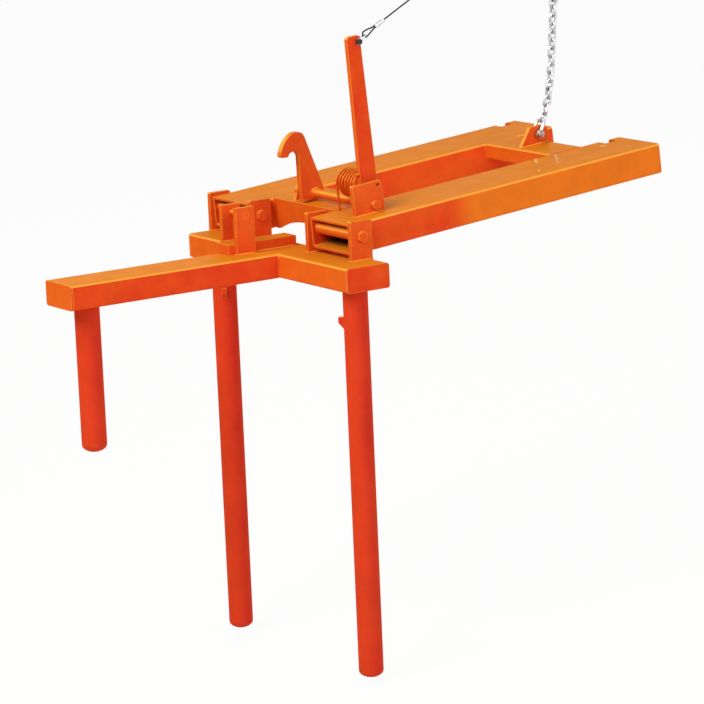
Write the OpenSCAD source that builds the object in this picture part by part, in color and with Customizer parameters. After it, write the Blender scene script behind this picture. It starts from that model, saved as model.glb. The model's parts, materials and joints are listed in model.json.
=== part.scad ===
// Drum rotator for a fork truck.
// Two fork pockets carry a T-shaped head on a cross hinge; three posts under the head hold a drum.
// A spring-loaded hook on a cross shaft catches a rod on the head when the head is swung up.
// The origin lies midway between the rear mouths of the pockets, level with their ceilings.
// X runs across the forks, Y back towards the truck and Z up.

/* [Fork pockets] */
// Outside width of a fork pocket
pocket_w = 170; // [150:5:190]
// Outside height of a fork pocket
pocket_h = 76; // [72:2:84]
// Wall of the fork pockets
pocket_wall = 6; // [5:1:8]
// Length of a fork pocket
pocket_len = 937; // [800:1:1200]
// Distance between the centre lines of the pockets
pocket_track = 444; // [430:2:520]
// Outside corner radius of the pockets
pocket_corner = 8; // [7:1:12]
// Length of the slot for the fork retaining pin
slot_len = 36; // [20:1:60]
// Width of that slot in the pocket's roof
slot_w = 36; // [20:1:50]
// Depth of that slot down the pocket's side
slot_drop = 14; // [10:1:20]
// Distance from the rear mouth to the slot
slot_inset = 28; // [15:1:60]

/* [Cross members] */
// Distance from the front end of the pockets to the front cross member
front_member_inset = 73; // [72:1:90]
// Depth of the front cross member along the pockets
front_member_d = 134; // [120:2:200]
// Plate thickness of the front cross member
front_member_t = 8; // [6:1:10]
// Height of the arch cut into the front cross member's webs
arch_rise = 27; // [15:1:34]
// Distance from the rear mouths to the rear cross member
rear_member_inset = 115; // [80:5:200]
// Depth of the rear cross member along the pockets
rear_member_d = 100; // [80:5:140]
// Height of the rear cross member
rear_member_h = 40; // [30:2:60]
// Wall of the rear cross member
rear_member_wall = 5; // [4:1:6]

/* [Head hinge] */
// Distance from the front end of the pockets back to the hinge axis
hinge_back = 22; // [20:1:24]
// Height of the pocket ceilings above the hinge axis
hinge_drop = 25; // [24:1:27]
// Height of the hinge axis above the top of the cross beam
hinge_rise = 58; // [56:1:64]
// Diameter of the hinge bolts
hinge_bolt_d = 16; // [14:2:18]
// Radial clearance of the hinge bolts in their tubes
hinge_play = 0.08; // [0.05:0.01:0.1]
// Outside diameter of the pivot tubes
pivot_tube_d = 28; // [26:1:32]
// Thickness of the ear plates
ear_t = 12; // [10:1:15]
// Width of the ear plates
ear_w = 60; // [50:2:62]
// Height of the ear plates above the hinge axis
ear_top = 38; // [34:1:39]
// Side gap between an ear plate and its pocket
ear_gap = 2; // [1.5:0.5:3]
// Angle of the head to the forks in the pose that is shown, front end up
head_tilt = 5.2; // [4:0.1:8]

/* [T head] */
// Length of the cross beam
beam_len = 710; // [700:5:800]
// Width of the cross beam and of the centre arm
beam_w = 120; // [110:5:130]
// Height of the cross beam and of the centre arm
beam_h = 60; // [50:1:65]
// Wall of the beam and arm
beam_wall = 5; // [4:1:8]
// Outside corner radius of the beam and arm
beam_corner = 7; // [6:1:10]
// Thickness of the end caps
cap_t = 5; // [4:1:8]
// Length of the centre arm in front of the cross beam
arm_len = 574; // [480:2:700]
// Distance of the head's centre line to the right of the forks' centre line
head_shift = 34; // [26:1:40]

/* [Posts] */
// Diameter of the posts
post_d = 60.3; // [55:0.1:65]
// Wall of the posts
post_wall = 4; // [3:0.5:6]
// Length of the two long posts
long_post_len = 955; // [700:5:1000]
// Length of the short post
short_post_len = 355; // [250:5:400]
// Distance from the ends of the cross beam to the long posts' axes
long_post_inset = 60; // [45:1:80]
// Distance from the front of the arm to the short post's axis
short_post_inset = 73; // [45:1:90]
// Height of the dished lower end of a post
post_dome = 18; // [12:1:28]
// Distance that a drum nib stands out from its post
nib_reach = 14; // [10:1:20]
// Height of a drum nib
nib_h = 34; // [26:1:40]
// Thickness of a drum nib
nib_t = 12; // [8:1:14]
// Distance from the beam down to the drum nibs
nib_drop = 72; // [60:1:90]

/* [Catch on the head] */
// Clear width between the catch plates
catch_gap = 52; // [44:1:56]
// Thickness of the catch plates
catch_t = 12; // [10:1:12]
// Width of the catch plates
catch_w = 52; // [48:1:56]
// Height of the catch plates above the beam top
catch_h = 114; // [112:1:118]
// Diameter of the catch rod
catch_rod_d = 15; // [13:0.5:15]
// Distance of the catch rod in front of the hinge axis, along the head
catch_rod_reach = 141; // [139:0.5:142]
// Height of the catch rod above the hinge axis, square to the head
catch_rod_rise = 36; // [34:0.5:37]
// Distance from the front edge of the catch plates to the rod's axis
catch_rod_inset = 30; // [24:1:34]
// Height of the base bar between the catch plates
base_bar_h = 25; // [15:1:27]
// Distance that the base bar runs out in front of the catch plates
base_bar_nose = 17; // [0:1:30]

/* [Latch] */
// Diameter of the cross shaft
shaft_d = 22; // [20:1:22]
// Radial clearance of the cross shaft in its brackets
shaft_play = 0.05; // [0.03:0.01:0.1]
// Distance of the cross shaft behind the hinge axis
shaft_back = 90; // [89:1:92]
// Height of the cross shaft above the hinge axis
shaft_rise = 50; // [50:1:52]
// Thickness of the shaft brackets
bracket_t = 12; // [10:1:12]
// Distance of the right bracket's middle from the right pocket's outer side
bracket_inset = 55; // [45:1:65]
// Thickness of the hook plate
hook_t = 16; // [12:1:20]
// Distance of the hook plate to the left of the forks' centre line
hook_offset = 8; // [0:1:12]
// Radius of the hook's rounded crown
hook_crown_r = 20; // [16:1:22]
// Radius of the hook's brow, from the crown forward to the nose
hook_brow_r = 71; // [70:0.5:72]
// Width of the hook's mouth
mouth_w = 32; // [30:1:32]
// Angle of the hook on its shaft, leaning back
hook_set = 4; // [4:0.5:5]
// Thickness of the release lever
lever_t = 12; // [10:1:12]
// Length of the release lever from the shaft's axis to its top
lever_len = 406; // [300:1:420]
// Width of the release lever at its foot
lever_foot_w = 46; // [40:1:48]
// Width of the release lever at its top
lever_top_w = 37; // [34:1:44]
// Gap between the lever and the right bracket
lever_gap = 6; // [5:1:8]

/* [Return spring] */
// Diameter of the spring's wire
spring_wire = 5; // [4:0.5:5]
// Number of turns
spring_turns = 5; // [3:1:5]
// Distance from turn to turn
spring_pitch = 12; // [8:1:12]
// Height of the spring's axis above the shaft
spring_rise = 48; // [47:1:52]
// Distance of the spring's axis in front of the shaft
spring_fore = 6; // [4:1:8]
// Diameter of the spring's hub
spring_hub_d = 60.3; // [50:0.1:60.5]

/* [Safety chain and shackles] */
// Thickness of the chain lug
lug_t = 12; // [10:1:14]
// Wire diameter of the chain
chain_wire = 7; // [6:0.5:7]
// Inside length of a chain link
chain_pitch = 21; // [20:0.5:24]
// Inside width of a chain link
chain_in_w = 10; // [9:0.5:12]
// Number of chain links
chain_links = 15; // [8:1:18]
// Angle that the chain leans back from upright at its top
chain_lean = 9; // [7:1:18]
// Angle that the lug's shackle and the first link lean back
shackle_lean = 34; // [30:1:38]
// Wire diameter of the lug's shackle
lug_shackle_wire = 9; // [8:0.5:9]
// Diameter of the pull cord
cord_d = 4; // [3:0.5:4]

/* [Hidden] */
$fn = 48;
seat = 0.3;
fit = 0.05;

hinge_y = -pocket_len + hinge_back;
hinge_z = -hinge_drop;
roof_z = pocket_wall;
pocket_x = pocket_track/2;
inner_w = pocket_track - pocket_w;
tube_r = pivot_tube_d/2;
bolt_r = hinge_bolt_d/2;
ear_in = pocket_w/2 + ear_gap;
ear_out = ear_in + ear_t;
washer_r = 15;
nut_h = 13;
bolt_head_h = 10;
bolt_key_r = 13.8;

// Head frame: origin on the hinge axis, before the head is tilted
beam_top = -hinge_rise;
beam_back = ear_w/2;
beam_front = beam_back - beam_w;
beam_mid = beam_back - beam_w/2;
arm_front = beam_front - arm_len;
post_r = post_d/2;
long_post_x = beam_len/2 - long_post_inset;
short_post_y = arm_front + short_post_inset;
drum_y = beam_mid - 195;
catch_front = -catch_rod_reach - catch_rod_inset;

shaft_y = hinge_y + shaft_back;
shaft_z = hinge_z + shaft_rise;
shaft_r = shaft_d/2;
foot_r = shaft_rise - hinge_drop - pocket_wall - 1;
right_bracket_x = pocket_x + pocket_w/2 - bracket_inset;
left_bracket_x = -hook_offset - 42;
lever_x = right_bracket_x - bracket_t/2 - lever_gap - lever_t/2;
lever_eye = [16, lever_len - 14];
lever_lean = 7;
eye_pin_d = 9.8;
hub_r = spring_hub_d/2;
spring_r = hub_r + seat + spring_wire/2;
coil_end = 129;
spring_bend = 3;
hub_len = spring_turns*spring_pitch + 8;

lug_y = -rear_member_inset - 35;
lug_z = roof_z + 27;
lug_pin_d = 13.8;
lug_bow_w = 20;
lug_bow_h = 26;
link_step = chain_pitch - seat;
first_joint = lug_bow_h + lug_bow_w/2 - seat/2;
chain_ease = 0.7;
end_link_wire = 10;
end_link_len = 54;
end_link_w = 30;

eye_wire = 6;
eye_bow_w = 14;
eye_bow_h = 18;
loop_wire = 4;
loop_len = 34;
loop_w = 16;
loop_z = eye_bow_h + eye_bow_w/2 - seat + loop_len/2;
ferrule_r = 5;
ferrule_z = loop_z + loop_len/2 + loop_wire;
cord_start = 91;
cord_end = 208;
end_ferrule_len = 18;
ring_r = 25;
ring_wire = 6;

// The cord runs from the lever's eye 12 back for 5 up
cord_lean = 22.62;
cord_route = [[234, -725, 452], [234, -689, 467], [234, -653, 482], [234, -617, 497]];

paint = [0.93, 0.36, 0.12];
zinc = [0.72, 0.73, 0.75];
steel = [0.45, 0.46, 0.48];

// Shared shapes

module rounded_rect(w, h, r) {
    square([w - 2*r, h], center = true);
    square([w, h - 2*r], center = true);
    for (sx = [-1, 1], sy = [-1, 1])
        translate([sx*(w/2 - r), sy*(h/2 - r)]) circle(r);
}

module box_section(w, h, wall, corner) {
    difference() {
        rounded_rect(w, h, corner);
        rounded_rect(w - 2*wall, h - 2*wall, max(corner - wall, 1));
    }
}

// Stands a flat outline drawn in Y and Z upright, t thick and centred on X = 0
module upright(t) {
    rotate([90, 0, 90]) linear_extrude(t, center = true) children();
}

module rod_x(r, x0, x1) {
    translate([x0, 0, 0]) rotate([0, 90, 0]) cylinder(r = r, h = x1 - x0);
}

module on_hinge() {
    translate([0, hinge_y, hinge_z]) children();
}

// Places a child drawn in the head's own frame
module on_head() {
    on_hinge() rotate([-head_tilt, 0, 0]) children();
}

module on_shaft() {
    translate([0, shaft_y, shaft_z]) children();
}

// Fork frame

module fork_pocket(side) {
    mid_y = -pocket_len/2;
    mid_z = roof_z - pocket_h/2;
    color(paint) difference() {
        translate([side*pocket_x, mid_y, mid_z]) rotate([90, 0, 0])
            linear_extrude(pocket_len, center = true) box_section(pocket_w, pocket_h, pocket_wall, pocket_corner);
        on_hinge() translate([side*pocket_x, 0, 0]) rod_x(tube_r + fit, -pocket_w, pocket_w);
        translate([side*pocket_x - pocket_w/2 - 1, -slot_inset - slot_len, roof_z - slot_drop])
            cube([slot_w + 1, slot_len, slot_drop + 1]);
    }
}

module pivot_tube(side) {
    color(paint) on_hinge() translate([side*pocket_x, 0, 0]) difference() {
        rod_x(tube_r, -pocket_w/2, pocket_w/2);
        rod_x(bolt_r + hinge_play, -pocket_w, pocket_w);
    }
}

// Folded channel between the pockets, with an arch cut through both webs
module front_cross_member() {
    front = -pocket_len + front_member_inset;
    arch_w = inner_w/2 - 12;
    arch_r = (arch_rise*arch_rise + arch_w*arch_w)/(2*arch_rise);
    color(paint) difference() {
        translate([-inner_w/2, front, roof_z - pocket_h]) cube([inner_w, front_member_d, pocket_h]);
        translate([-inner_w/2 - 1, front + front_member_t, roof_z - pocket_h - 1])
            cube([inner_w + 2, front_member_d - 2*front_member_t, pocket_h - front_member_t + 1]);
        translate([0, front - 1, roof_z - pocket_h + arch_rise - arch_r]) rotate([-90, 0, 0])
            cylinder(r = arch_r, h = front_member_d + 2, $fn = 180);
    }
}

module rear_cross_member() {
    color(paint) translate([0, -rear_member_inset - rear_member_d/2, roof_z - rear_member_h/2])
        rotate([90, 0, 90]) linear_extrude(inner_w, center = true)
            box_section(rear_member_d, rear_member_h, rear_member_wall, rear_member_wall + 1);
}

module chain_lug() {
    rear = -rear_member_inset - 2;
    front = -rear_member_inset - rear_member_d + 10;
    top = roof_z + 46;
    bend = 20;
    color(paint) difference() {
        upright(lug_t) {
            polygon([[front, roof_z], [rear, roof_z], [rear, top - bend], [rear - bend, top], [front + 34, top]]);
            translate([rear - bend, top - bend]) circle(bend);
        }
        translate([0, lug_y, lug_z]) rod_x(lug_pin_d/2 + 0.1, -lug_t, lug_t);
    }
}

module shaft_bore() {
    rod_x(shaft_r + shaft_play, -bracket_t, bracket_t);
}

module left_shaft_bracket() {
    base = roof_z - shaft_z;
    color(paint) on_shaft() translate([left_bracket_x, 0, 0]) difference() {
        upright(bracket_t) {
            circle(26);
            translate([-26, base]) square([52, -base]);
            polygon([[-34, base], [34, base], [26, 0], [-26, 0]]);
        }
        shaft_bore();
        translate([0, 0, base - 50]) cube([100, 100, 100], center = true);
    }
}

module right_shaft_bracket() {
    base = roof_z - shaft_z;
    top = 56;
    nose = -59;
    color(paint) on_shaft() translate([right_bracket_x, 0, 0]) difference() {
        upright(bracket_t) {
            circle(27);
            polygon([[nose, base], [26, base], [27, 0], [25, top - 4], [21, top], [nose + 3, top], [nose, top - 3]]);
        }
        shaft_bore();
        translate([0, 14, top - 10]) rod_x(4.5, -bracket_t, bracket_t);
        translate([0, 0, base - 50]) cube([100, 100, 100], center = true);
    }
}

// Tilting head

module cross_beam() {
    color(paint) on_head() translate([head_shift, beam_mid, beam_top - beam_h/2]) rotate([90, 0, 90])
        linear_extrude(beam_len - 2*cap_t, center = true) box_section(beam_w, beam_h, beam_wall, beam_corner);
}

module beam_cap(side) {
    color(paint) on_head() translate([head_shift + side*(beam_len/2 - cap_t/2), beam_mid, beam_top - beam_h/2])
        rotate([90, 0, 90]) linear_extrude(cap_t, center = true) rounded_rect(beam_w, beam_h, beam_corner);
}

module centre_arm() {
    color(paint) on_head() translate([head_shift, beam_front, beam_top - beam_h/2]) rotate([90, 0, 0])
        linear_extrude(arm_len - cap_t) box_section(beam_w, beam_h, beam_wall, beam_corner);
}

module arm_cap() {
    color(paint) on_head() translate([head_shift, arm_front + cap_t, beam_top - beam_h/2]) rotate([90, 0, 0])
        linear_extrude(cap_t) rounded_rect(beam_w, beam_h, beam_corner);
}

// Ear plate beside a pocket; side picks the pocket and flank the side of that pocket
module ear(side, flank) {
    x = side*pocket_x + flank*(ear_in + ear_t/2);
    color(paint) on_head() translate([x, 0, 0]) difference() {
        upright(ear_t) polygon([[-ear_w/2, beam_top], [ear_w/2, beam_top], [ear_w/2, ear_top - 3],
            [ear_w/2 - 3, ear_top], [3 - ear_w/2, ear_top], [-ear_w/2, ear_top - 3]]);
        rod_x(bolt_r + fit, -ear_t, ear_t);
    }
}

module hinge_bolt(side) {
    color(zinc) on_head() translate([side*pocket_x, 0, 0]) {
        rod_x(bolt_r, -ear_out - nut_h - 5, ear_out + 1);
        translate([ear_out, 0, 0]) rotate([0, 90, 0]) cylinder(r = bolt_key_r, h = bolt_head_h, $fn = 6);
    }
}

module hinge_nuts() {
    color(zinc) on_head() for (side = [-1, 1])
        translate([side*pocket_x - ear_out - nut_h, 0, 0]) difference() {
            rotate([0, 90, 0]) cylinder(r = bolt_key_r, h = nut_h, $fn = 6);
            rod_x(bolt_r + fit, -1, nut_h + 1);
        }
}

// Thin washers that fill the side gaps, one on each flank of both pockets
module pivot_washers() {
    thick = ear_gap - seat;
    color(zinc) on_head() for (side = [-1, 1], flank = [-1, 1])
        translate([side*pocket_x + flank*(ear_in - thick/2), 0, 0]) difference() {
            rod_x(washer_r, -thick/2, thick/2);
            rod_x(bolt_r + fit, -thick, thick);
        }
}

// Points on a dish of radius r and height h below the height z
function dish(r, h, z, n) = [for (i = [0 : n]) [r*sin(90*i/n), z - h*cos(90*i/n)]];

// Closed post that hangs down from its own origin, with a dished lower end
module post(length) {
    lower = -length + post_dome;
    outer = dish(post_r, post_dome, lower, 8);
    inner = dish(post_r - post_wall, post_dome - post_wall, lower, 8);
    rotate_extrude() polygon(concat(outer, [[post_r, 0], [post_r - post_wall, 0]], [for (i = [8 : -1 : 0]) inner[i]]));
}

module long_post(side) {
    color(paint) on_head() translate([head_shift + side*long_post_x, beam_mid, beam_top - beam_h]) post(long_post_len);
}

module short_post() {
    color(paint) on_head() translate([head_shift, short_post_y, beam_top - beam_h]) post(short_post_len);
}

// Wedge-shaped nibs on the long posts, aimed at the drum's axis
module drum_nibs() {
    root = post_r - 6;
    nose = post_r + nib_reach;
    for (side = [-1, 1]) {
        aim = atan2(drum_y - beam_mid, -side*long_post_x);
        color(paint) on_head()
            translate([head_shift + side*long_post_x, beam_mid, beam_top - beam_h - nib_drop]) difference() {
                rotate([0, 0, aim]) rotate([90, 0, 0]) linear_extrude(nib_t, center = true)
                    polygon([[root, 0], [nose, 0], [nose, -nib_h*0.4], [root, -nib_h]]);
                translate([0, 0, -nib_h - 1]) cylinder(r = post_r, h = nib_h + 2);
            }
    }
}

module catch_base_bar() {
    front = catch_front - base_bar_nose;
    color(paint) on_head() translate([-catch_gap/2, front, beam_top]) cube([catch_gap, 5 - front, base_bar_h]);
}

module catch_plate(side) {
    color(paint) on_head() translate([side*(catch_gap + catch_t)/2, 0, 0]) difference() {
        translate([-catch_t/2, catch_front, beam_top]) cube([catch_t, catch_w, catch_h]);
        translate([0, -catch_rod_reach, catch_rod_rise]) rod_x(catch_rod_d/2 + fit, -catch_t, catch_t);
    }
}

module catch_rod() {
    color(paint) on_head() translate([0, -catch_rod_reach, catch_rod_rise])
        rod_x(catch_rod_d/2, -catch_gap/2 - catch_t, catch_gap/2 + catch_t);
}

// Latch

module latch_shaft() {
    color(paint) on_shaft()
        rod_x(shaft_r, left_bracket_x - bracket_t/2 - 14, right_bracket_x + bracket_t/2 + 8);
}

// Points on an arc about a centre, from angle a0 to angle a1
function arc(centre, r, a0, a1) = [for (i = [0 : 8]) let (a = a0 + (a1 - a0)*i/8) centre + r*[cos(a), sin(a)]];

// Hook outline about the shaft's axis: a shank that leans forward into a nose, with a mouth that opens forwards and down
module hook_outline() {
    throat = -42;
    under_nose = 98.5;
    foot = [[26, 6], [26, -4], [12, -13.5], [-14, -15.5], [-38, -12], [throat, 10]];
    nose = [[throat, under_nose], [-89, under_nose], [-93, under_nose + 2], [-94.6, under_nose + 5.5]];
    brow = arc([-25, 91], hook_brow_r, 169, 114);
    crown = arc([-42, 136], hook_crown_r, 90, 20);
    difference() {
        polygon(concat(foot, nose, brow, crown));
        translate([throat - mouth_w/2, under_nose - 4.5]) circle(mouth_w/2);
    }
}

module latch_hook() {
    color(paint) on_shaft() translate([-hook_offset, 0, 0]) difference() {
        rotate([-hook_set, 0, 0]) upright(hook_t) hook_outline();
        rod_x(shaft_r + fit, -hook_t, hook_t);
    }
}

module release_lever() {
    half = lever_top_w/2;
    color(paint) on_shaft() translate([lever_x, 0, 0]) difference() {
        upright(lever_t) {
            circle(foot_r);
            polygon([[-foot_r, 0], [foot_r, 0], [2 + lever_foot_w/2, 56], [lever_lean + half - 1, lever_len - 5],
                [lever_lean + half - 6, lever_len], [lever_lean + 4 - half, lever_len],
                [lever_lean - 1 - half, lever_len - 5], [1 - lever_foot_w/2, 56]]);
        }
        rod_x(shaft_r + fit, -lever_t, lever_t);
        translate([0, lever_eye[0], lever_eye[1]]) rod_x(eye_pin_d/2 + 0.1, -lever_t, lever_t);
    }
}

module collar(r, x0, x1) {
    difference() {
        rod_x(r, x0, x1);
        rod_x(shaft_r + fit, x0 - 1, x1 + 1);
    }
}

module shaft_collar() {
    x1 = left_bracket_x - bracket_t/2 - seat;
    color(paint) on_shaft() collar(foot_r, x1 - 10, x1);
}

module shaft_spacer() {
    color(paint) on_shaft() collar(foot_r - 1, lever_x + lever_t/2, right_bracket_x - bracket_t/2 - seat);
}

module spring_hub() {
    color(paint) on_shaft() translate([0, -spring_fore, spring_rise])
        rod_x(hub_r, lever_x - lever_t/2 - hub_len, lever_x - lever_t/2);
}

// A tube of k sides swept through a list of centres, each with two vectors that span its ring
module swept(rings, r, k) {
    n = len(rings);
    points = [for (ring = rings) for (j = [0 : k - 1])
        ring[0] + r*(cos(360*j/k)*ring[1] + sin(360*j/k)*ring[2])];
    walls = [for (i = [0 : n - 2]) for (j = [0 : k - 1])
        [i*k + j, i*k + (j + 1)%k, (i + 1)*k + (j + 1)%k, (i + 1)*k + j]];
    polyhedron(points, concat([[for (j = [k - 1 : -1 : 0]) j]], walls, [[for (j = [0 : k - 1]) (n - 1)*k + j]]));
}

// Ring of the coil at angle a and place x: its centre and two vectors across the wire
function coil_ring(a, x) = [[x, spring_r*cos(a), spring_r*sin(a)], [0, cos(a), sin(a)], [-1, 0, 0]];

// Ring of the bend into the upper leg, b degrees round it; along is the way the wire runs at the coil's end
function bend_ring(end, along, b) = [end[0] + spring_bend*(sin(b)*along + (1 - cos(b))*[1, 0, 0]),
    end[1], sin(b)*along - cos(b)*[1, 0, 0]];

// Torsion spring on its hub, with one leg down to the pocket and one across the lever's front edge
module return_spring() {
    lever_face = lever_x - lever_t/2;
    last = lever_face - spring_bend - spring_wire/2;
    swing = 360*spring_turns + 180 - coil_end;
    count = ceil(swing/15);
    coil = [for (i = [0 : count]) coil_ring(180 - swing*i/count, last - spring_pitch*swing/360*(1 - i/count))];
    foot = [[coil[0][0][0], -spring_r, roof_z - shaft_z - spring_rise + spring_wire/2 + seat], coil[0][1], coil[0][2]];
    bend = [for (b = [30 : 30 : 90]) bend_ring(coil[count], [0, sin(coil_end), -cos(coil_end)], b)];
    tip = [bend[2][0] + [spring_wire/2 + lever_t, 0, 0], bend[2][1], bend[2][2]];
    color(steel) on_shaft() translate([0, -spring_fore, spring_rise])
        swept(concat([foot], coil, bend, [tip]), spring_wire/2, 8);
}

// Shackles, links and cord

// Bow shackle whose pin lies along X through the origin and whose bow stands up
module shackle(wire, bow_w, bow_h, pin_d) {
    leg_x = (bow_w + wire)/2;
    for (side = [-1, 1]) {
        translate([side*leg_x, 0, pin_d/2]) cylinder(r = wire/2, h = bow_h - pin_d/2);
        difference() {
            translate([side*leg_x, 0, 0]) rod_x(pin_d/2 + wire*0.45, -wire/2, wire/2);
            rod_x(pin_d/2 + fit, -bow_w - wire, bow_w + wire);
        }
    }
    translate([0, 0, bow_h]) rotate([90, 0, 0]) rotate_extrude(angle = 180) translate([leg_x, 0]) circle(wire/2);
}

module shackle_pin(wire, bow_w, pin_d) {
    rod_x(pin_d/2, -bow_w/2 - wire - 1, bow_w/2 + wire + 1);
    rod_x(pin_d/2 + 2, bow_w/2 + wire + 0.1, bow_w/2 + wire + 5);
}

// Chain link that lies in the X-Z plane with its length along Z
module link(wire, in_len, in_w) {
    r = (in_w + wire)/2;
    half = (in_len + wire)/2 - r;
    for (side = [-1, 1]) {
        translate([side*r, 0, -half]) cylinder(r = wire/2, h = 2*half);
        translate([0, 0, side*half]) rotate([90*side, 0, 0]) rotate_extrude(angle = 180)
            translate([r, 0]) circle(wire/2);
    }
}

module on_lug() {
    translate([0, lug_y, lug_z]) rotate([-shackle_lean, 0, 0]) children();
}

module lug_shackle() {
    color(zinc) on_lug() shackle(lug_shackle_wire, lug_bow_w, lug_bow_h, lug_pin_d);
}

module lug_shackle_pin() {
    color(zinc) on_lug() shackle_pin(lug_shackle_wire, lug_bow_w, lug_pin_d);
}

// Lean of link i, and which way it runs in Y and Z: the chain eases from its shackle's lean to its own
function lean(i) = chain_lean + (shackle_lean - chain_lean)*pow(chain_ease, i);
function run(a) = [sin(a), cos(a)];

// Where link i hangs in the one below it, in Y and Z from the lug's pin
function joint_at(i) = i == 0 ? first_joint*run(shackle_lean) : joint_at(i - 1) + link_step*run(lean(i - 1));

// Places a child as link i, whose middle is half its length above its joint; every second link lies along Y
module as_link(i, half) {
    middle = joint_at(i) + half*run(lean(i));
    translate([0, lug_y + middle[0], lug_z + middle[1]]) rotate([-lean(i), 0, 0])
        rotate([0, 0, i%2 == 0 ? 90 : 0]) children();
}

module safety_chain() {
    color(zinc) for (i = [0 : chain_links - 1])
        as_link(i, link_step/2) link(chain_wire, chain_pitch, chain_in_w);
}

module chain_end_link() {
    color(zinc) as_link(chain_links, (end_link_len - seat)/2) link(end_link_wire, end_link_len, end_link_w);
}

// Places a child at the lever's eye with the cord's pull along Z
module on_eye() {
    on_shaft() translate([lever_x, lever_eye[0], lever_eye[1]]) rotate([cord_lean - 90, 0, 0]) children();
}

module cord_shackle() {
    color(zinc) on_eye() shackle(eye_wire, eye_bow_w, eye_bow_h, eye_pin_d);
}

module cord_shackle_pin() {
    color(zinc) on_eye() shackle_pin(eye_wire, eye_bow_w, eye_pin_d);
}

module cord_eye() {
    color(zinc) on_eye() translate([0, 0, loop_z]) rotate([0, 0, 90]) link(loop_wire, loop_len, loop_w);
}

module cord_ferrule() {
    color(zinc) on_eye() translate([0, 0, ferrule_z]) cylinder(r = ferrule_r, h = cord_start - ferrule_z);
}

function tube_ring(p) = [p, [1, 0, 0], [0, -sin(cord_lean), cos(cord_lean)]];

module pull_cord() {
    color(steel) swept([for (p = cord_route) tube_ring(p)], cord_d/2, 8);
}

module end_ferrule() {
    color(zinc) on_eye() translate([0, 0, cord_end]) cylinder(r = ferrule_r, h = end_ferrule_len);
}

module pull_ring() {
    color(zinc) on_eye() translate([0, 0, cord_end + end_ferrule_len + ring_r + ring_wire/2]) rotate([0, 90, 0])
        rotate_extrude() translate([ring_r, 0]) circle(ring_wire/2);
}

fork_pocket(-1);  // left_fork_pocket
fork_pocket(1);  // right_fork_pocket
pivot_tube(-1);  // left_pivot_tube
pivot_tube(1);  // right_pivot_tube
front_cross_member();
rear_cross_member();
chain_lug();
left_shaft_bracket();
right_shaft_bracket();
cross_beam();
beam_cap(-1);  // left_beam_cap
beam_cap(1);  // right_beam_cap
centre_arm();
arm_cap();
ear(-1, -1);  // left_outer_ear
ear(-1, 1);  // left_inner_ear
ear(1, -1);  // right_inner_ear
ear(1, 1);  // right_outer_ear
hinge_bolt(-1);  // left_hinge_bolt
hinge_bolt(1);  // right_hinge_bolt
hinge_nuts();
pivot_washers();
long_post(-1);  // left_long_post
long_post(1);  // right_long_post
short_post();
drum_nibs();
catch_base_bar();
catch_plate(-1);  // left_catch_plate
catch_plate(1);  // right_catch_plate
catch_rod();
latch_shaft();
latch_hook();
release_lever();
shaft_collar();
shaft_spacer();
spring_hub();
return_spring();
cord_shackle();
cord_shackle_pin();
cord_eye();
cord_ferrule();
pull_cord();
end_ferrule();
pull_ring();
lug_shackle();
lug_shackle_pin();
safety_chain();
chain_end_link();
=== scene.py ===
# Drum rotator for a fork truck: paint, welds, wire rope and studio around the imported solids
import json
import math
import random

import bpy
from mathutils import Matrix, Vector


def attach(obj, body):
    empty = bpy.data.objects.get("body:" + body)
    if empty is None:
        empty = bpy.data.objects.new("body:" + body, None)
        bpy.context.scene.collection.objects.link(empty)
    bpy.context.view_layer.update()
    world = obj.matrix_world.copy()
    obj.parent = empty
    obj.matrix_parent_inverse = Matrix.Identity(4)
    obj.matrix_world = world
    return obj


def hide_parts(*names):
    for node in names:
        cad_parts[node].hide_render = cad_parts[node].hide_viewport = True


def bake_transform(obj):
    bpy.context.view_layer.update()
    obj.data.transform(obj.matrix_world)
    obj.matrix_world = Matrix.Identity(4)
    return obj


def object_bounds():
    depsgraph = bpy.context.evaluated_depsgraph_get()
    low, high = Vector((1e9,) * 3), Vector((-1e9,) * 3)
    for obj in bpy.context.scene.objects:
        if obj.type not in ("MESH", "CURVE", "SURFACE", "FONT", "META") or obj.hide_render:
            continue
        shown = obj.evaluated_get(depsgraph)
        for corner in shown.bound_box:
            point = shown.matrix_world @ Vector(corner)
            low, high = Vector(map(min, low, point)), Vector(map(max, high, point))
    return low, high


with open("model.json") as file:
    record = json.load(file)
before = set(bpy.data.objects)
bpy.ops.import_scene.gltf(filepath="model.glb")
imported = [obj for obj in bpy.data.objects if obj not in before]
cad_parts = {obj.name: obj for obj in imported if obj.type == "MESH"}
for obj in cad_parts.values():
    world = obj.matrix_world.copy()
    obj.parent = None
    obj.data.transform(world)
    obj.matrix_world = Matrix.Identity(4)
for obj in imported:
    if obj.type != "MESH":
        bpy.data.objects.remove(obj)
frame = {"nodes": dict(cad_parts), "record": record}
cadBounds = [list(corner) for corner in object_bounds()]
nodes = frame["nodes"]
random.seed(7)


# Shared helpers

plainWhite = (1.0, 1.0, 1.0, 1.0)


def hexColour(code):
    # sRGB hex code to linear light
    channels = [int(code[i:i + 2], 16) / 255 for i in (1, 3, 5)]
    return tuple(c / 12.92 if c <= 0.04045 else ((c + 0.055) / 1.055) ** 2.4 for c in channels) + (1.0,)


def addNode(tree, kind, settings=None, inputs=None):
    # settings are the node's own options, inputs its sockets: a value, or another node's output to link
    node = tree.nodes.new(kind)
    for name, value in (settings or {}).items():
        setattr(node, name, value)
    for name, value in (inputs or {}).items():
        if isinstance(value, bpy.types.NodeSocket):
            tree.links.new(value, node.inputs[name])
        else:
            node.inputs[name].default_value = value
    return node


def newMaterial(name):
    material = bpy.data.materials.new(name)
    material.use_nodes = True
    tree = material.node_tree
    tree.nodes.clear()
    return material, tree


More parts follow.
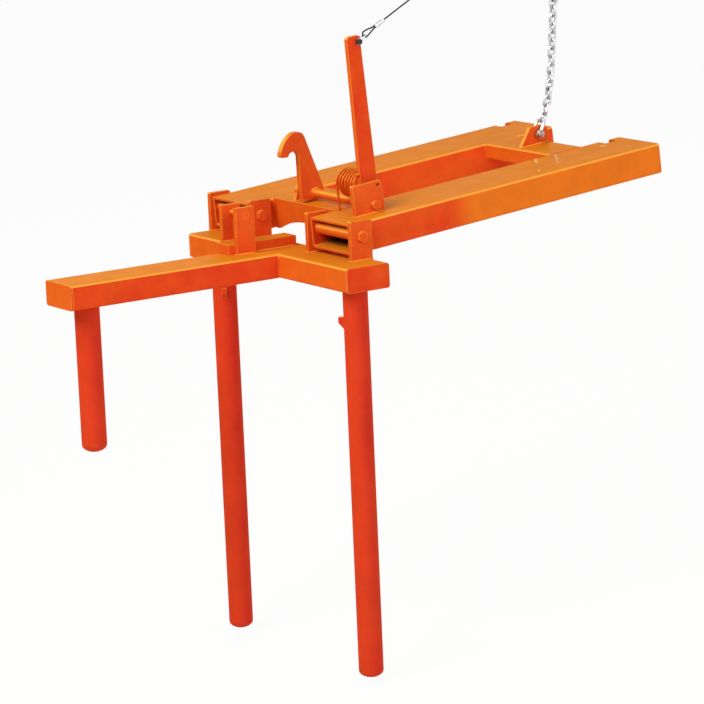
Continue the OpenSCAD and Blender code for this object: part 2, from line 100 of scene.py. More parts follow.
def fillRamp(node, stops):
    # stops are places along the ramp with their colours
    ramp = node.color_ramp
    while len(ramp.elements) < len(stops):
        ramp.elements.new(0.5)
    for element, (place, colour) in zip(ramp.elements, stops):
        element.position = place
        element.color = colour


def paintNode(name, material):
    mesh = nodes[name].data
    mesh.materials.clear()
    mesh.materials.append(material)


def meshObject(name, vertices, faces, material, smooth=True):
    mesh = bpy.data.meshes.new(name)
    mesh.from_pydata([tuple(v) for v in vertices], [], faces)
    mesh.materials.append(material)
    mesh.polygons.foreach_set("use_smooth", [smooth] * len(mesh.polygons))
    mesh.validate()
    thing = bpy.data.objects.new(name, mesh)
    bpy.context.scene.collection.objects.link(thing)
    return thing


def ringPoints(middle, one, two, radius, sides):
    # points round middle, from the direction one towards two
    turns = [2 * math.pi * j / sides for j in range(sides)]
    return [middle + (one * math.cos(w) + two * math.sin(w)) * radius for w in turns]


def tubeFaces(first, rings, sides, closed=False):
    # faces of a tube whose rings of points start at index first; its ends are flat unless it closes on itself
    faces = []
    for i in range(rings if closed else rings - 1):
        a, b = first + i * sides, first + (i + 1) % rings * sides
        for j in range(sides):
            k = (j + 1) % sides
            faces.append((a + j, a + k, b + k, b + j))
    if not closed:
        faces.append(tuple(first + j for j in reversed(range(sides))))
        faces.append(tuple(first + (rings - 1) * sides + j for j in range(sides)))
    return faces


# Camera: stands where the photograph was taken, worked out from the object's own edges

cameraPlace = {
    "pivot": (0.0, -0.915, -0.025),   # the hinge axis
    "azimuth": 57.71,
    "elevation": 14.38,
    "roll": -6.97,
    "distance": 9.167,
    "focalPixels": 3770.0,
    "picturePixels": 704,
    "sensorMm": 36.0,
    "right": 0.1562,                  # the picture's middle, from the pivot
    "up": -0.3191,
    "clipEnd": 200.0,
}


def addCamera(place):
    a, e, r = (math.radians(place[k]) for k in ("azimuth", "elevation", "roll"))
    back = Vector((math.sin(a) * math.cos(e), -math.cos(a) * math.cos(e), math.sin(e)))
    level = Vector((math.cos(a), math.sin(a), 0.0))
    upright = back.cross(level)
    right = math.cos(r) * level + math.sin(r) * upright
    up = math.cos(r) * upright - math.sin(r) * level
    data = bpy.data.cameras.new("photoCamera")
    data.sensor_width = place["sensorMm"]
    data.sensor_height = place["sensorMm"]
    data.lens = place["focalPixels"] / place["picturePixels"] * place["sensorMm"]
    data.clip_end = place["clipEnd"]
    camera = bpy.data.objects.new("photoCamera", data)
    bpy.context.scene.collection.objects.link(camera)
    spot = Vector(place["pivot"]) + back * place["distance"] + right * place["right"] + up * place["up"]
    turn = camera.matrix_world.copy()
    for row in range(3):
        turn[row] = (right[row], up[row], back[row], spot[row])
    camera.matrix_world = turn
    bpy.context.scene.camera = camera


addCamera(cameraPlace)
print("camera placed")


# Materials

enamel = {
    "top": "#d57c18",           # painted light: the tops a yellow orange, as lit from above
    "front": "#dd611b",         # painted light: faces that look along the forks, a lighter orange
    "side": "#e03f1f",          # painted shade: the sides a deep red orange
    "sideWarm": "#e7541f",      # and turn to plain orange where the coat is thin
    "edge": "#ffb851",          # painted highlight: paler along an edge and over a tube's rounded corner
    "roughness": 0.4,
    "ior": 1.45,
    "specularLevel": 0.01,      # weathered: the tops hardly mirror the white studio
    "peelMm": 7.0,              # real orange peel is 1 to 2 mm across, too fine to show here
    "driftMm": 130.0,           # sprayed in passes
    "edgeMm": 2.2,              # width of the painted highlight along an edge
    "cornerHighlightShare": 0.7,         # how far a tube's rounded upper corner turns to the painted highlight's colour
    "filletMm": 1.6,            # how far an edge's highlight rolls over
}
# Copies of the one paint with painted light: the pockets' and plates' sides lighter and the posts darker, for
# how the light falls on each
pocketCoat = dict(
    enamel, side="#e4481f", sideWarm="#e9591f",
    # painted light: the outer sides yellower towards the rear
    rearSideLit="#ec7822",
    outerX=(0.295, 0.3),        # in metres: past this a face is one of the pockets' outer sides
    rearY=(-0.66, -0.56),       # in metres: over this the painted light comes in
    scale="#3d3630",
    # middle of a pocket's inside, half its size and the width over which the painted shade comes in, in metres
    inside={"X": (0.222, 0.0795, 0.0005), "Z": (-0.032, 0.0325, 0.0005), "Y": (-0.4685, 0.445, 0.05)})
plateCoat = dict(enamel, side="#ec5a26", sideWarm="#ee6426", driftMm=70.0)
postCoat = dict(enamel, front="#d64220", side="#cd3324", sideWarm="#d43e24", driftMm=210.0)
springCoat = dict(enamel, edgeMm=0.4, filletMm=0.4, cornerHighlightShare=0.2)


def litRearSide(tree, place, side, look):
    # Painted light: the pockets' outer sides are painted yellower over the two thirds that face the truck, as
    # lit from behind
    at = addNode(tree, "ShaderNodeSeparateXYZ", inputs={"Vector": place})
    outX = addNode(tree, "ShaderNodeMath", {"operation": "ABSOLUTE"}, {0: at.outputs["X"]})
    outer = addNode(tree, "ShaderNodeMapRange", inputs={
        "Value": outX.outputs[0], "From Min": look["outerX"][0], "From Max": look["outerX"][1]})
    back = addNode(tree, "ShaderNodeMapRange", {"interpolation_type": "SMOOTHSTEP"}, {
        "Value": at.outputs["Y"], "From Min": look["rearY"][0], "From Max": look["rearY"][1]})
    share = addNode(tree, "ShaderNodeMath", {"operation": "MULTIPLY"}, {
        0: outer.outputs["Result"], 1: back.outputs["Result"]})
    return addNode(tree, "ShaderNodeMix", {"data_type": "RGBA"}, {
        "Factor": share.outputs[0], "A": side, "B": hexColour(look["rearSideLit"])})


def shadedInside(tree, place, painted, look):
    # Painted shade: past the first few centimetres a pocket's inside is painted dark, for the shade deep in
    # the tube
    at = addNode(tree, "ShaderNodeSeparateXYZ", inputs={"Vector": place})
    outX = addNode(tree, "ShaderNodeMath", {"operation": "ABSOLUTE"}, {0: at.outputs["X"]})
    along = {"X": outX.outputs[0], "Y": at.outputs["Y"], "Z": at.outputs["Z"]}
    inside = 1.0
    for axis, (middle, half, fade) in look["inside"].items():
        off = addNode(tree, "ShaderNodeMath", {"operation": "SUBTRACT"}, {0: along[axis], 1: middle})
        away = addNode(tree, "ShaderNodeMath", {"operation": "ABSOLUTE"}, {0: off.outputs[0]})
        within = addNode(tree, "ShaderNodeMapRange", inputs={
            "Value": away.outputs[0], "From Min": half, "From Max": half - fade})
        share = addNode(tree, "ShaderNodeMath", {"operation": "MULTIPLY"}, {
            0: inside, 1: within.outputs["Result"]})
        inside = share.outputs[0]
    return addNode(tree, "ShaderNodeMix", {"data_type": "RGBA"}, {
        "Factor": inside, "A": painted, "B": hexColour(look["scale"])})


def sprayedEnamel(name, look):
    # Orange alkyd enamel sprayed on hot rolled steel with a faint peel, and painted light: deep red on the
    # sides, yellower on the tops, paler along edges
    material, tree = newMaterial(name)
    coords = addNode(tree, "ShaderNodeTexCoord")
    place = coords.outputs["Object"]
    facing = addNode(tree, "ShaderNodeSeparateXYZ", inputs={"Vector": coords.outputs["Normal"]})
    forward = addNode(tree, "ShaderNodeMath", {"operation": "ABSOLUTE"}, {0: facing.outputs["Y"]})
    # the side's two colours drift into each other, then the painted light of front and top is laid over them
    # by where a face looks
    drift = addNode(tree, "ShaderNodeTexNoise", inputs={
        "Vector": place, "Scale": 1000 / look["driftMm"], "Detail": 3.0, "Roughness": 0.55})
    thin = addNode(tree, "ShaderNodeMapRange", {"interpolation_type": "SMOOTHSTEP"}, {
        "Value": drift.outputs["Fac"], "From Min": 0.3, "From Max": 0.7})
    side = addNode(tree, "ShaderNodeMix", {"data_type": "RGBA"}, {
        "Factor": thin.outputs["Result"], "A": hexColour(look["side"]), "B": hexColour(look["sideWarm"])})
    # painted light on the pockets' rear outer sides
    if "rearSideLit" in look:
        side = litRearSide(tree, place, side.outputs["Result"], look)
    upright = addNode(tree, "ShaderNodeMix", {"data_type": "RGBA"}, {
        "Factor": forward.outputs[0], "A": side.outputs["Result"], "B": hexColour(look["front"])})
    upward = addNode(tree, "ShaderNodeMapRange", inputs={
        "Value": facing.outputs["Z"], "From Min": 0.2, "From Max": 0.9})
    # painted light: the faces that look up turn to the lit top colour
    topLitColour = addNode(tree, "ShaderNodeMix", {"data_type": "RGBA"}, {
        "Factor": upward.outputs["Result"], "A": upright.outputs["Result"], "B": hexColour(look["top"])})
    # small clouds, a little lighter and darker
    cloud = addNode(tree, "ShaderNodeTexNoise", inputs={
        "Vector": place, "Scale": 2700 / look["driftMm"], "Detail": 4.0, "Roughness": 0.6})
    depth = addNode(tree, "ShaderNodeMapRange", {"interpolation_type": "SMOOTHSTEP"}, {
        "Value": cloud.outputs["Fac"], "From Min": 0.25, "From Max": 0.75, "To Min": 0.94, "To Max": 1.06})
    coat = addNode(tree, "ShaderNodeHueSaturation", inputs={
        "Value": depth.outputs["Result"], "Color": topLitColour.outputs["Result"]})
    # painted highlights along sharp edges, and on the rounded upper corners of the tubes
    rounded = addNode(tree, "ShaderNodeBevel", {"samples": 6}, {"Radius": look["edgeMm"] / 1000})
    flat = addNode(tree, "ShaderNodeNewGeometry")
    bend = addNode(tree, "ShaderNodeVectorMath", {"operation": "DOT_PRODUCT"}, {
        0: rounded.outputs["Normal"], 1: flat.outputs["Normal"]})
    edge = addNode(tree, "ShaderNodeMapRange", inputs={
        "Value": bend.outputs["Value"], "From Min": 0.99, "From Max": 0.86, "To Min": 0.0, "To Max": 0.8})
    turn = addNode(tree, "ShaderNodeMath", {"operation": "SUBTRACT"}, {0: facing.outputs["Z"], 1: 0.6})
    away = addNode(tree, "ShaderNodeMath", {"operation": "ABSOLUTE"}, {0: turn.outputs[0]})
    corner = addNode(tree, "ShaderNodeMapRange", {"interpolation_type": "SMOOTHSTEP"}, {
        "Value": away.outputs[0], "From Min": 0.36, "From Max": 0.1, "To Min": 0.0,
        "To Max": look["cornerHighlightShare"]})
    highlightShare = addNode(tree, "ShaderNodeMath", {"operation": "MAXIMUM"}, {
        0: edge.outputs["Result"], 1: corner.outputs["Result"]})
    colour = addNode(tree, "ShaderNodeMix", {"data_type": "RGBA"}, {
        "Factor": highlightShare.outputs[0], "A": coat.outputs["Color"], "B": hexColour(look["edge"])})
    # painted shade deep inside the pockets
    if "inside" in look:
        colour = shadedInside(tree, place, colour.outputs["Result"], look)
    # peel over slow sags, on edges that the bevel softens
    peel = addNode(tree, "ShaderNodeTexNoise", inputs={
        "Vector": place, "Scale": 1000 / look["peelMm"], "Detail": 2.0, "Roughness": 0.5})
    sag = addNode(tree, "ShaderNodeTexNoise", inputs={
        "Vector": place, "Scale": 1000 / (look["peelMm"] * 6), "Detail": 1.0})
    relief = addNode(tree, "ShaderNodeMath", {"operation": "MULTIPLY_ADD"}, {
        0: sag.outputs["Fac"], 1: 1.4, 2: peel.outputs["Fac"]})
    soft = addNode(tree, "ShaderNodeBevel", {"samples": 6}, {"Radius": look["filletMm"] / 1000})
    bump = addNode(tree, "ShaderNodeBump", inputs={
        "Strength": 0.2, "Distance": 0.0006, "Height": relief.outputs[0], "Normal": soft.outputs["Normal"]})
    gloss = addNode(tree, "ShaderNodeMapRange", inputs={
        "Value": drift.outputs["Fac"], "From Min": 0.3, "From Max": 0.7,
        "To Min": look["roughness"] - 0.05, "To Max": look["roughness"] + 0.07})
    shader = addNode(tree, "ShaderNodeBsdfPrincipled", inputs={
        "Base Color": colour.outputs["Result"], "Roughness": gloss.outputs["Result"],
        "Normal": bump.outputs["Normal"], "IOR": look["ior"], "Specular IOR Level": look["specularLevel"]})
    addNode(tree, "ShaderNodeOutputMaterial", inputs={"Surface": shader.outputs["BSDF"]})
    return material


galvanised = {
    "light": "#e6e8ea",
    "dark": "#a4a8ad",
    "spangleMm": 5.0,           # one crystal of the zinc
    "roughness": 0.27,
}


def hotDipGalvanised(name, look):
    # Hot-dip galvanised steel: bright grey metal in soft patches of crystal, duller in the hollows
    material, tree = newMaterial(name)
    place = addNode(tree, "ShaderNodeTexCoord").outputs["Object"]
    spangle = addNode(tree, "ShaderNodeTexVoronoi", inputs={
        "Vector": place, "Scale": 1000 / look["spangleMm"]})
    cloud = addNode(tree, "ShaderNodeTexNoise", inputs={"Vector": place, "Scale": 90.0, "Detail": 3.0})
    both = addNode(tree, "ShaderNodeMath", {"operation": "MULTIPLY"}, {
        0: spangle.outputs["Color"], 1: cloud.outputs["Fac"]})
    colour = addNode(tree, "ShaderNodeValToRGB", inputs={"Fac": both.outputs[0]})
    fillRamp(colour, [(0.05, hexColour(look["dark"])), (0.4, hexColour(look["light"]))])
    gloss = addNode(tree, "ShaderNodeMapRange", inputs={
        "Value": cloud.outputs["Fac"], "From Min": 0.3, "From Max": 0.7,
        "To Min": look["roughness"] - 0.08, "To Max": look["roughness"] + 0.14})
    bump = addNode(tree, "ShaderNodeBump", inputs={
        "Strength": 0.25, "Distance": 0.0003, "Height": cloud.outputs["Fac"]})
    shader = addNode(tree, "ShaderNodeBsdfPrincipled", inputs={
        "Base Color": colour.outputs["Color"], "Metallic": 1.0, "Roughness": gloss.outputs["Result"],
        "Normal": bump.outputs["Normal"]})
    addNode(tree, "ShaderNodeOutputMaterial", inputs={"Surface": shader.outputs["BSDF"]})
    return material


ropeWire = {
    "light": "#585b5f",
    "dark": "#17181a",
    "roughness": 0.42,
}


def drawnWire(name, look):
    # Drawn steel wire, laid up greased: dark between the wires and bright on their crowns
    material, tree = newMaterial(name)
    place = addNode(tree, "ShaderNodeTexCoord").outputs["Object"]
    grease = addNode(tree, "ShaderNodeTexNoise", inputs={"Vector": place, "Scale": 900.0, "Detail": 2.0})
    colour = addNode(tree, "ShaderNodeValToRGB", inputs={"Fac": grease.outputs["Fac"]})
    fillRamp(colour, [(0.42, hexColour(look["dark"])), (0.62, hexColour(look["light"]))])
    shader = addNode(tree, "ShaderNodeBsdfPrincipled", inputs={
        "Base Color": colour.outputs["Color"], "Metallic": 1.0, "Roughness": look["roughness"]})
    addNode(tree, "ShaderNodeOutputMaterial", inputs={"Surface": shader.outputs["BSDF"]})
    return material


headEnamel = sprayedEnamel("sprayedEnamelHead", enamel)
plateEnamel = sprayedEnamel("sprayedEnamelPlate", plateCoat)
pocketEnamel = sprayedEnamel("sprayedEnamelPocket", pocketCoat)
postEnamel = sprayedEnamel("sprayedEnamelPost", postCoat)
springEnamel = sprayedEnamel("sprayedEnamelWire", springCoat)
chainZinc = hotDipGalvanised("hotDipGalvanisedSteel", galvanised)
ropeSteel = drawnWire("drawnSteelWire", ropeWire)

slotMaterials = {"orange_paint": plateEnamel, "galvanised": chainZinc, "wire_rope": ropeSteel}
for part in frame["record"]["subparts"]:
    paintNode(part["node"], slotMaterials[part["material_slot"]])
for material, names in (
        (pocketEnamel, ("left_fork_pocket", "right_fork_pocket", "front_cross_member", "rear_cross_member")),
        (headEnamel, ("cross_beam", "centre_arm", "left_beam_cap", "right_beam_cap", "arm_cap",
                      "release_lever")),
        (postEnamel, ("left_long_post", "right_long_post", "short_post", "drum_nibs"))):
    for name in names:
        paintNode(name, material)
print("materials assigned")


# Wire rope of the release lever: six strands laid round a core, along the cord's route in the source

pullRope = {
    "route": [(0.234, -0.725, 0.452), (0.234, -0.689, 0.467), (0.234, -0.653, 0.482), (0.234, -0.617, 0.497)],
    "diameterMm": 4.0,
    "strands": 6,
    "layMm": 26.0,          # one turn of a strand
    "steps": 72,
    "sides": 8,             # of one strand
}


def ropeMesh(path, look):
    # path lies in a plane of constant X, so X is square to it all along
    side = Vector((1.0, 0.0, 0.0))
    diameter, lay = look["diameterMm"] / 1000, look["layMm"] / 1000
    strandR = diameter / 6
    coreR = diameter / 2 - strandR
    length, stations = 0.0, []
    for i, point in enumerate(path):
        length += (point - path[i - 1]).length if i else 0.0
        along = (path[min(i + 1, len(path) - 1)] - path[max(i - 1, 0)]).normalized()
        stations.append((point, along.cross(side), length))
    vertices, faces = [], []
    for s in range(look["strands"] + 1):
        # the last one is the core
        faces += tubeFaces(len(vertices), len(stations), look["sides"])
        layR = coreR if s < look["strands"] else 0.0
        for point, across, run in stations:
            turn = 2 * math.pi * (run / lay + s / look["strands"])
            out = side * math.cos(turn) + across * math.sin(turn)
            around = across * math.cos(turn) - side * math.sin(turn)
            vertices += ringPoints(point + out * layR, out, around, strandR, look["sides"])
    return vertices, faces


ropeStart, ropeEnd = Vector(pullRope["route"][0]), Vector(pullRope["route"][-1])
ropePath = [ropeStart.lerp(ropeEnd, i / pullRope["steps"]) for i in range(pullRope["steps"] + 1)]
rope = meshObject("wireRope", *ropeMesh(ropePath, pullRope), ropeSteel)
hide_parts("pull_cord")
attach(rope, "cord_end")

# The rope's end turned back on itself round the shackle, its two parts side by side in the ferrule
ropeEye = {
    "pinMm": (234.0, -809.0, 417.0),
    "pull": math.radians(22.62),    # of the cord above level
    "bowMm": 22.7,                  # from the pin to the middle of the rope where it goes round the bow
    "ferruleMm": 64.0,              # from the pin to where the two parts lie together
    "roundMm": 7.6,
    "pairMm": 2.05,                 # half the distance between the two parts in the ferrule
    "legSteps": 24,
    "bowSteps": 20,
}


def eyePath(look):
    pull = Vector((0.0, math.cos(look["pull"]), math.sin(look["pull"])))
    aside = Vector((0.0, -math.sin(look["pull"]), math.cos(look["pull"])))
    level = look["bowMm"] + look["roundMm"]
    leg = []
    for i in range(look["legSteps"] + 1):
        t = i / look["legSteps"]
        width = look["pairMm"] + (look["roundMm"] - look["pairMm"]) * (0.5 - 0.5 * math.cos(math.pi * t))
        leg.append((width, look["ferruleMm"] + (level - look["ferruleMm"]) * t))
    turns = [math.pi * i / look["bowSteps"] for i in range(1, look["bowSteps"])]
    bow = [(look["roundMm"] * math.cos(w), level - look["roundMm"] * math.sin(w)) for w in turns]
    flat = leg + bow + [(-w, z) for w, z in reversed(leg)]
    return [(Vector(look["pinMm"]) + aside * w + pull * z) / 1000 for w, z in flat]


eye = meshObject("ropeEye", *ropeMesh(eyePath(ropeEye), pullRope), ropeSteel)
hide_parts("cord_eye")
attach(eye, "cord_end")
paintNode("cord_shackle_pin", ropeSteel)
print("wire rope laid")


# Return spring of the latch, from its foot on the pocket through the coil to the upper leg, built in place as
# one piece

spring = {
    "centreMm": (0.0, -831.0, 73.0),
    "coilMm": 32.95,            # from the coil's axis to the middle of the wire
    "wireMm": 5.0,
    "firstMm": 160.8,           # along X, where the foot joins the coil
    "lastMm": 222.5,
    "sweep": 1851.0,            # degrees round the coil, from the foot's side
    "stepDegrees": 6,
    "shankMm": (58.0, 43.0, 42.0, 34.0, 27.0, 20.0, 14.0),      # heights of the rings down to the foot
    "footMm": 8.8,
    "bendMm": 3.0,
    "bendSteps": 6,
    "legMm": 14.5,
    "sides": 16,
}


def springMesh(look):
    centre = Vector(look["centreMm"])
    sideways = Vector((1.0, 0.0, 0.0))
    rings = []
    steps = round(look["sweep"] / look["stepDegrees"])
    for i in range(steps + 1):
        a = math.radians(180 - look["sweep"] * i / steps)
        out = Vector((0.0, math.cos(a), math.sin(a)))
        x = look["firstMm"] + (look["lastMm"] - look["firstMm"]) * i / steps
        rings.append((centre + sideways * x + out * look["coilMm"], out, -sideways))
    start, end = rings[0], rings[-1]
    for z in look["shankMm"] + (look["footMm"],):
        rings.insert(0, (Vector((start[0].x, start[0].y, z)), start[1], start[2]))
    # the upper end bends from the coil's last turn to lie along the shaft
    along = Vector((0.0, end[1].z, -end[1].y))
    for i in range(1, look["bendSteps"] + 1):
        b = math.radians(90 * i / look["bendSteps"])
        spot = end[0] + look["bendMm"] * (math.sin(b) * along + (1 - math.cos(b)) * sideways)
        rings.append((spot, end[1], math.sin(b) * along - math.cos(b) * sideways))
    spot, one, two = rings[-1]
    rings.append((spot + sideways * look["legMm"], one, two))
    vertices = []
    for spot, one, two in rings:
        vertices += [point / 1000 for point in ringPoints(spot, one, two, look["wireMm"] / 2, look["sides"])]
    return vertices, tubeFaces(0, len(rings), look["sides"])


coil = meshObject("sprungCoil", *springMesh(spring), springEnamel)
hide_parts("return_spring")
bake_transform(coil)
print("spring wound")


# Weld beads, painted over with the plates they join

weld = {
    "radiusMm": 3.4,
    "rippleMm": 3.2,        # one freeze line of the bead
    "rippleDepth": 0.13,
    "swellMm": 9.7,         # the hand's wander, per radian
    "swellDepth": 0.07,
    "endShare": 0.45,       # of the radius, where a bead starts and stops
    "endRise": 0.4,         # and how fast it grows from there
    "stepMm": 1.1,
    "ringSteps": 48,
    "sides": 10,
}
skew = Vector((0.31, 0.52, 0.79))       # along none of the beads
hinge = Vector((0.0, -0.915, -0.025))
headTilt = math.radians(5.2)

# Where the frame's plates meet, in millimetres from the origin
frameLines = {
    "flank": 137,                       # the pockets' inner sides, to the left and the right
    "memberTop": 4,
    "rearFaces": (-215, -115),          # rear cross member, and its underside
    "rearUnder": -34,
    "rearUnderRun": (-213, -117),
    "frontFaces": (-864, -730),         # front cross member
    "frontUnder": -66,
    "roof": 6,
    # faces in X and ends in Y of the chain lug and the two shaft brackets, which stand on the roofs
    "plates": (((-6, 6), (-203, -119)), ((-56, -44), (-857, -793)), ((246, 258), (-882, -801))),
    "bracketFront": ((247, 257), -884),
}

# Where the head's plates meet, in millimetres in the head's own frame, from the hinge axis
headLines = {
    "armFlanks": (-26, 94),             # centre arm against the beam's front
    "beamFront": -90,
    "armRun": (-62, -115),
    "top": -58,
    "pocketMiddle": 222,                # ears: off the pocket's middle, on both sides of it
    "earFaces": (87, 99),
    "earRun": (-28, 28),
    "earEdges": (-30, 30),
    "beamEnd": -321,                    # the left outer ear is flush with it, so it has no bead there
    "catch": (                          # catch plates and their base bar
        ((38, -169, -58), (38, -121, -58)),
        ((28, -171, -58), (37, -171, -58)),
        ((-26, -117, -58), (-26, 3, -58)),
        ((-26, -169, -33), (-26, -121, -33)),
        ((26, -117, -58), (26, 3, -58)),
        ((26, -169, -33), (26, -121, -33)),
        ((-24, 5, -58), (24, 5, -58)),
    ),
    "posts": ((-261, -30, -118), (329, -30, -118), (34, -591, -118)),
    "postRadius": 30.15,
}

# Hook and lever on the latch's shaft, in millimetres from the origin
shaftRings = {
    "centres": ((-16, -825, 25), (0, -825, 25), (228, -825, 25)),
    "radius": 11,
}


def headPoint(x, y, z):
    # y and z turn with the head about the hinge axis
    c, s = math.cos(headTilt), math.sin(headTilt)
    return hinge + Vector((x, y * c + z * s, z * c - y * s)) / 1000


def rowPoint(x, y, z):
    return Vector((x, y, z)) / 1000


def ringRun(place, centre, radius, plane):
    # circle of points about centre in the X-Y or Y-Z plane, closed on its first point
    x, y, z = centre
    run = []
    for i in range(weld["ringSteps"] + 1):
        w = 2 * math.pi * (i % weld["ringSteps"]) / weld["ringSteps"]
        c, s = radius * math.cos(w), radius * math.sin(w)
        run.append(place(x + c, y + s, z) if plane == "xy" else place(x, y + c, z + s))
    return run


def beadMesh(runs, look):
    vertices, faces = [], []
    for run in runs:
        closed = (run[0] - run[-1]).length < 1e-6
        points = []
        for a, b in zip(run, run[1:]):
            count = max(1, round((b - a).length / look["stepMm"] * 1000))
            points += [a.lerp(b, i / count) for i in range(count)]
        if not closed:
            points.append(run[-1])
        total = len(points)
        faces += tubeFaces(len(vertices), total, look["sides"], closed)
        phase, wander = random.random(), random.random() * 6
        for i, point in enumerate(points):
            if closed:
                before, after = points[i - 1], points[(i + 1) % total]
            else:
                before, after = points[max(i - 1, 0)], points[min(i + 1, total - 1)]
            along = (after - before).normalized()
            side = along.cross(skew).normalized()
            across = along.cross(side)
            s = i * look["stepMm"]
            ripple = look["rippleDepth"] * ((s / look["rippleMm"] + phase) % 1.0 - 0.5)
            swell = look["swellDepth"] * math.sin(s / look["swellMm"] + wander)
            size = look["radiusMm"] / 1000 * (1 + ripple + swell)
            if not closed:
                fromEnd = min(i, total - 1 - i) * look["stepMm"] / look["radiusMm"]
                size *= min(1.0, look["endShare"] + fromEnd * look["endRise"])
            vertices += ringPoints(point, side, across, size, look["sides"])
    return vertices, faces


def frameRuns(at):
    runs = []
    for x in (-at["flank"], at["flank"]):
        for y in at["rearFaces"]:
            runs.append([rowPoint(x, y, at["memberTop"]), rowPoint(x, y, at["rearUnder"])])
        runs.append([rowPoint(x, y, at["rearUnder"]) for y in at["rearUnderRun"]])
        for y in at["frontFaces"]:
            runs.append([rowPoint(x, y, at["memberTop"]), rowPoint(x, y, at["frontUnder"])])
    for plateFaces, ends in at["plates"]:
        for x in plateFaces:
            runs.append([rowPoint(x, y, at["roof"]) for y in ends])
    ends, y = at["bracketFront"]
    runs.append([rowPoint(x, y, at["roof"]) for x in ends])
    return runs


def headRuns(at):
    runs = []
    for x in at["armFlanks"]:
        runs.append([headPoint(x, at["beamFront"], z) for z in at["armRun"]])
    for side in (-1, 1):
        for flank in (-1, 1):
            earSides = [side * at["pocketMiddle"] + flank * off for off in at["earFaces"]]
            for x in earSides:
                if x > at["beamEnd"]:
                    runs.append([headPoint(x, y, at["top"]) for y in at["earRun"]])
            for y in at["earEdges"]:
                runs.append([headPoint(x, y, at["top"]) for x in earSides])
    for ends in at["catch"]:
        runs.append([headPoint(*end) for end in ends])
    for centre in at["posts"]:
        runs.append(ringRun(headPoint, centre, at["postRadius"], "xy"))
    return runs


latchRuns = [ringRun(rowPoint, centre, shaftRings["radius"], "yz") for centre in shaftRings["centres"]]
for name, runs, body in (("frameWeldBeads", frameRuns(frameLines), "fork_frame"),
                         ("headWeldBeads", headRuns(headLines), "tilt_head"),
                         ("latchWeldBeads", latchRuns, "latch")):
    beads = meshObject(name, *beadMesh(runs, weld), plateEnamel)
    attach(beads, body)
print("welds run")


# Painted highlights on the right pocket's top: pale flecks that stand for glints on the gloss paint

glintFlecks = {
    # start, end and number of glint flecks of each streak, in millimetres
    "streaks": (((150, -266), (186, -292), 5), ((158, -211), (236, -265), 8),
                ((187, -80), (194, -99), 3), ((262, -338), (268, -342), 1)),
    "roofMm": 6.0,
    "strayMm": 3.0,             # off the streak's line
    "longMm": (9.0, 18.0),
    "wideMm": (4.0, 7.0),
    "ragged": (0.65, 1.0),      # shares of the size that an outline wanders between
    "thickMm": 0.2,
    "sides": 14,
}
# pale colours of the painted glints
glintPaint = dict(enamel, top="#ffe6c0", front="#ffdcae", side="#ffdcae", sideWarm="#ffdcae", cornerHighlightShare=0.0)


def glintFleckMesh(look):
    sides, stray = look["sides"], look["strayMm"]
    lift = Vector((0.0, 0.0, look["thickMm"]))
    vertices, faces = [], []
    for (x0, y0), (x1, y1), count in look["streaks"]:
        along = Vector((x1 - x0, y1 - y0, 0.0)).normalized()
        across = Vector((-along.y, along.x, 0.0))
        for i in range(count):
            t = (i + random.random() * 0.8) / count
            middle = Vector((x0 + (x1 - x0) * t, y0 + (y1 - y0) * t, look["roofMm"]))
            middle += across * random.uniform(-stray, stray)
            long, wide = random.uniform(*look["longMm"]) / 2, random.uniform(*look["wideMm"]) / 2
            outline = []
            for j in range(sides):
                w = 2 * math.pi * j / sides
                reach = random.uniform(*look["ragged"])
                outline.append(middle + along * (long * reach * math.cos(w))
                               + across * (wide * reach * math.sin(w)))
            first = len(vertices)
            vertices += [corner / 1000 for corner in outline] + [(corner + lift) / 1000 for corner in outline]
            faces.append(tuple(first + sides + j for j in range(sides)))
            for j in range(sides):
                k = (j + 1) % sides
                faces.append((first + j, first + k, first + sides + k, first + sides + j))
            faces.append(tuple(first + j for j in reversed(range(sides))))
    return vertices, faces


# the painted glints, as thin pale flecks on the pocket's roof
glintMarks = meshObject("paintedGlintFlecks", *glintFleckMesh(glintFlecks), sprayedEnamel("paintedGlint", glintPaint), smooth=False)
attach(glintMarks, "fork_frame")
print("scuffs laid")


# Studio: white sweep, a broad key from the front and above, softer light from the truck's side

studio = {
    "floorGapMm": 15.0,
    "floorHalf": 60.0,                # metres from its middle to its edges
    "floor": "#f4f3f1",
    "floorGlow": 0.94,                # share of the floor that is seen as plain white
    "aim": (0.0, -0.8, -0.2),         # what the softboxes point at
    "softboxes": {
        "key": {"from": (0.9, -4.2, 3.8), "size": 3.0, "watts": 225.0, "colour": "#fff8ee"},
        "side": {"from": (4.6, 0.4, 1.6), "size": 2.6, "watts": 70.0, "colour": "#ffffff"},
        "back": {"from": (-3.2, 2.2, 3.4), "size": 2.4, "watts": 50.0, "colour": "#fff8ee"},
    },
    "ambient": 0.45,
    "sky": (0.35, 1.15),              # brightness at the horizon and high up
}


def addSoftbox(name, look, target):
    data = bpy.data.lights.new(name, "AREA")
    data.shape = "SQUARE"
    data.size = look["size"]
    data.energy = look["watts"]
    data.color = hexColour(look["colour"])[:3]
    lamp = bpy.data.objects.new(name, data)
    bpy.context.scene.collection.objects.link(lamp)
    lamp.location = look["from"]
    lamp.rotation_euler = (target - Vector(look["from"])).to_track_quat("-Z", "Y").to_euler()


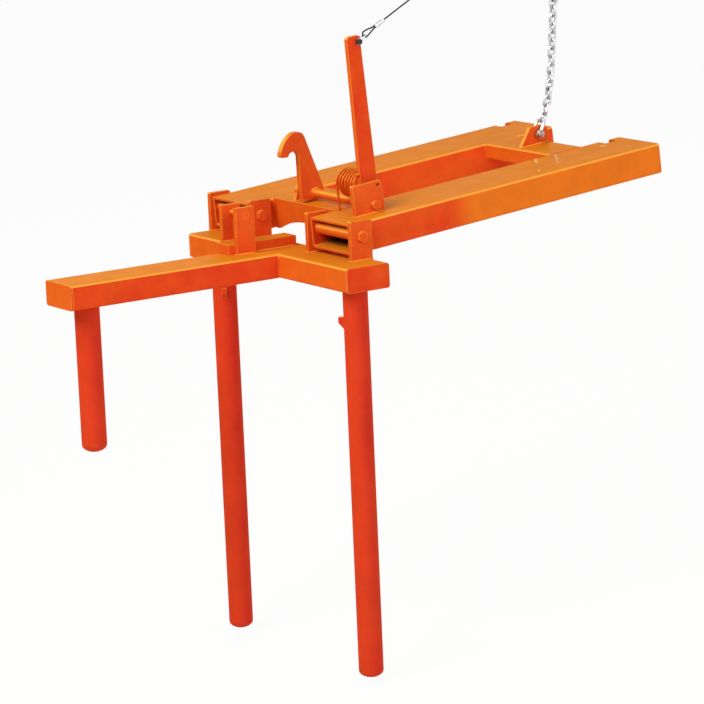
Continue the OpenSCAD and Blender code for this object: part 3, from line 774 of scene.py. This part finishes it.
def addFloor(look, lowest):
    size = look["floorHalf"]
    z = lowest - look["floorGapMm"] / 1000
    vertices = [(-size, -size, z), (size, -size, z), (size, size, z), (-size, size, z)]
    material, tree = newMaterial("paintedSweep")
    # Matt white emulsion on a studio sweep: no gloss, and just enough of its own light to fall off into white
    place = addNode(tree, "ShaderNodeTexCoord").outputs["Object"]
    roller = addNode(tree, "ShaderNodeTexNoise", inputs={"Vector": place, "Scale": 25.0, "Detail": 3.0})
    bump = addNode(tree, "ShaderNodeBump", inputs={
        "Strength": 0.05, "Distance": 0.002, "Height": roller.outputs["Fac"]})
    paint = addNode(tree, "ShaderNodeBsdfPrincipled", inputs={
        "Base Color": hexColour(look["floor"]), "Roughness": 0.9, "Specular IOR Level": 0.1,
        "Normal": bump.outputs["Normal"]})
    glow = addNode(tree, "ShaderNodeEmission", inputs={"Color": plainWhite, "Strength": 1.0})
    ray = addNode(tree, "ShaderNodeLightPath")
    seen = addNode(tree, "ShaderNodeMath", {"operation": "MAXIMUM"}, {
        0: ray.outputs["Is Camera Ray"], 1: ray.outputs["Is Glossy Ray"]})
    share = addNode(tree, "ShaderNodeMath", {"operation": "MULTIPLY"}, {
        0: seen.outputs[0], 1: look["floorGlow"]})
    both = addNode(tree, "ShaderNodeMixShader", inputs={
        "Fac": share.outputs[0], 1: paint.outputs["BSDF"], 2: glow.outputs["Emission"]})
    addNode(tree, "ShaderNodeOutputMaterial", inputs={"Surface": both.outputs["Shader"]})
    floor = meshObject("studioFloor", vertices, [(0, 1, 2, 3)], material, smooth=False)


def lightWorld(look):
    # Plain white to the eye and in reflections, and a soft sky, brighter higher up, for everything it lights
    world = bpy.data.worlds.new("whiteStudio")
    bpy.context.scene.world = world
    world.use_nodes = True
    tree = world.node_tree
    tree.nodes.clear()
    ray = addNode(tree, "ShaderNodeLightPath")
    through = addNode(tree, "ShaderNodeMath", {"operation": "MAXIMUM"}, {
        0: ray.outputs["Is Glossy Ray"], 1: ray.outputs["Is Transmission Ray"]})
    seen = addNode(tree, "ShaderNodeMath", {"operation": "MAXIMUM"}, {
        0: ray.outputs["Is Camera Ray"], 1: through.outputs[0]})
    place = addNode(tree, "ShaderNodeTexCoord").outputs["Generated"]
    height = addNode(tree, "ShaderNodeSeparateXYZ", inputs={"Vector": place})
    sky = addNode(tree, "ShaderNodeMapRange", inputs={
        "Value": height.outputs["Z"], "From Min": 0.0, "From Max": 0.9,
        "To Min": look["sky"][0], "To Max": look["sky"][1]})
    dim = addNode(tree, "ShaderNodeMath", {"operation": "MULTIPLY"}, {
        0: sky.outputs["Result"], 1: look["ambient"]})
    strength = addNode(tree, "ShaderNodeMix", {"data_type": "FLOAT"}, {
        "Factor": seen.outputs[0], "A": dim.outputs[0], "B": 1.0})
    light = addNode(tree, "ShaderNodeBackground", inputs={
        "Color": plainWhite, "Strength": strength.outputs["Result"]})
    addNode(tree, "ShaderNodeOutputWorld", inputs={"Surface": light.outputs["Background"]})


for name, look in studio["softboxes"].items():
    addSoftbox(name + "Softbox", look, Vector(studio["aim"]))
addFloor(studio, cadBounds[0][2])
lightWorld(studio)
bpy.context.scene.view_settings.view_transform = "Standard"
print("studio lit")
